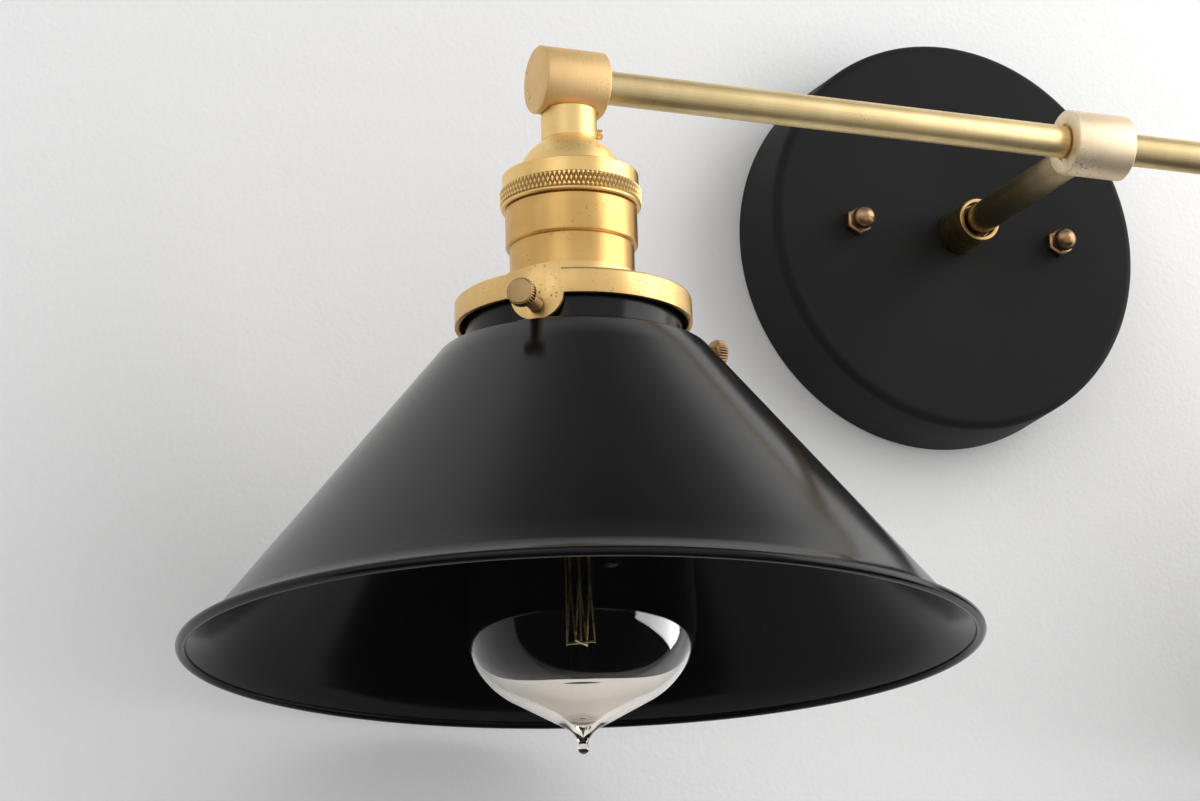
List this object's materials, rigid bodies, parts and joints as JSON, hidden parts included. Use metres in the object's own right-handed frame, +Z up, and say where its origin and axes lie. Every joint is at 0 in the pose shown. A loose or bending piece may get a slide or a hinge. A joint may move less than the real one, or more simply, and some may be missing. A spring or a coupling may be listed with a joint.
{
  "type": "vanity light",
  "caption": "Wall vanity light: round canopy, stem and straight tube arms in brass, cone shades on knurled sockets with thumb screws, and clear bulbs with a drawn tip.",
  "frame": {"origin": "centre of the canopy and crossbar, on the wall plane", "axes": "+X to the right along the arms, +Y into the wall, +Z up"},
  "size_m": [0.5468, 0.2202, 0.252],
  "materials": {
    "black_steel": "satin black",
    "brass": "raw satin",
    "plated_steel": "zinc plated",
    "ground_green": "satin green",
    "lead_cover": "matt",
    "porcelain": "glazed white",
    "base_metal": "bright rolled",
    "dark_glass": "gloss black",
    "clear_glass": "clear",
    "wire_metal": "drawn wire",
    "filament_metal": "drawn wire"
  },
  "bodies": {
    "fixture": {"canopy": "black_steel", "crossbar": "plated_steel", "canopy_studs": "plated_steel", "stud_nuts": "plated_steel", "ball_nuts": "brass", "ground_screw": "ground_green", "canopy_collar": "brass", "stem_washer": "plated_steel", "stem_locknut": "plated_steel", "stem_rod": "brass", "hub": "brass", "lamp_leads": "lead_cover", "socket_nipples": "plated_steel", "cap_set_screws": "brass", "left_socket_cap": "brass", "left_socket_shell": "brass", "left_socket_body": "porcelain", "left_screw_shell": "brass", "left_centre_contact": "brass", "left_shade_holder": "brass", "left_elbow": "brass", "left_arm": "brass", "right_socket_cap": "brass", "right_socket_shell": "brass", "right_socket_body": "porcelain", "right_screw_shell": "brass", "right_centre_contact": "brass", "right_shade_holder": "brass", "right_elbow": "brass", "right_arm": "brass"},
    "left_ring": {"left_knurled_ring": "brass"},
    "left_shade": {"left_shade": "black_steel"},
    "left_bulb": {"left_bulb_base": "base_metal", "left_bulb_insulator": "dark_glass", "left_bulb_contact": "plated_steel", "left_bulb_glass": "clear_glass", "left_bulb_mount": "clear_glass", "left_bulb_wires": "wire_metal", "left_bulb_filament": "filament_metal"},
    "left_screw_1": {"left_thumb_screw_1": "brass"},
    "left_screw_2": {"left_thumb_screw_2": "brass"},
    "left_screw_3": {"left_thumb_screw_3": "brass"},
    "right_ring": {"right_knurled_ring": "brass"},
    "right_shade": {"right_shade": "black_steel"},
    "right_bulb": {"right_bulb_base": "base_metal", "right_bulb_insulator": "dark_glass", "right_bulb_contact": "plated_steel", "right_bulb_glass": "clear_glass", "right_bulb_mount": "clear_glass", "right_bulb_wires": "wire_metal", "right_bulb_filament": "filament_metal"},
    "right_screw_1": {"right_thumb_screw_1": "brass"},
    "right_screw_2": {"right_thumb_screw_2": "brass"},
    "right_screw_3": {"right_thumb_screw_3": "brass"}
  },
  "joints": [
    {"name": "left_ring_turn", "type": "hinge", "parent": "fixture", "child": "left_ring", "pos_m": [-0.1655, -0.1123, 0], "axis": [0, 0, 1], "continuous": true},
    {"name": "left_shade_turn", "type": "hinge", "parent": "fixture", "child": "left_shade", "pos_m": [-0.1655, -0.1123, 0], "axis": [0, 0, 1], "continuous": true},
    {"name": "left_bulb_out", "type": "slide", "parent": "fixture", "child": "left_bulb", "axis": [0, 0, -1], "range_m": [0, 0.03]},
    {"name": "left_screw_1_out", "type": "slide", "parent": "fixture", "child": "left_screw_1", "axis": [-0.6428, -0.766, 0], "range_m": [0, 0.003]},
    {"name": "left_screw_2_out", "type": "slide", "parent": "fixture", "child": "left_screw_2", "axis": [0.9976, 0.0698, 0], "range_m": [0, 0.003]},
    {"name": "left_screw_3_out", "type": "slide", "parent": "fixture", "child": "left_screw_3", "axis": [-0.454, 0.891, 0], "range_m": [0, 0.003]},
    {"name": "right_ring_turn", "type": "hinge", "parent": "fixture", "child": "right_ring", "pos_m": [0.1655, -0.1123, 0], "axis": [0, 0, 1], "continuous": true},
    {"name": "right_shade_turn", "type": "hinge", "parent": "fixture", "child": "right_shade", "pos_m": [0.1655, -0.1123, 0], "axis": [0, 0, 1], "continuous": true},
    {"name": "right_bulb_out", "type": "slide", "parent": "fixture", "child": "right_bulb", "axis": [0, 0, -1], "range_m": [0, 0.03]},
    {"name": "right_screw_1_out", "type": "slide", "parent": "fixture", "child": "right_screw_1", "axis": [0.6428, -0.766, 0], "range_m": [0, 0.003]},
    {"name": "right_screw_2_out", "type": "slide", "parent": "fixture", "child": "right_screw_2", "axis": [-0.9976, 0.0698, 0], "range_m": [0, 0.003]},
    {"name": "right_screw_3_out", "type": "slide", "parent": "fixture", "child": "right_screw_3", "axis": [0.454, 0.891, 0], "range_m": [0, 0.003]}
  ]
}
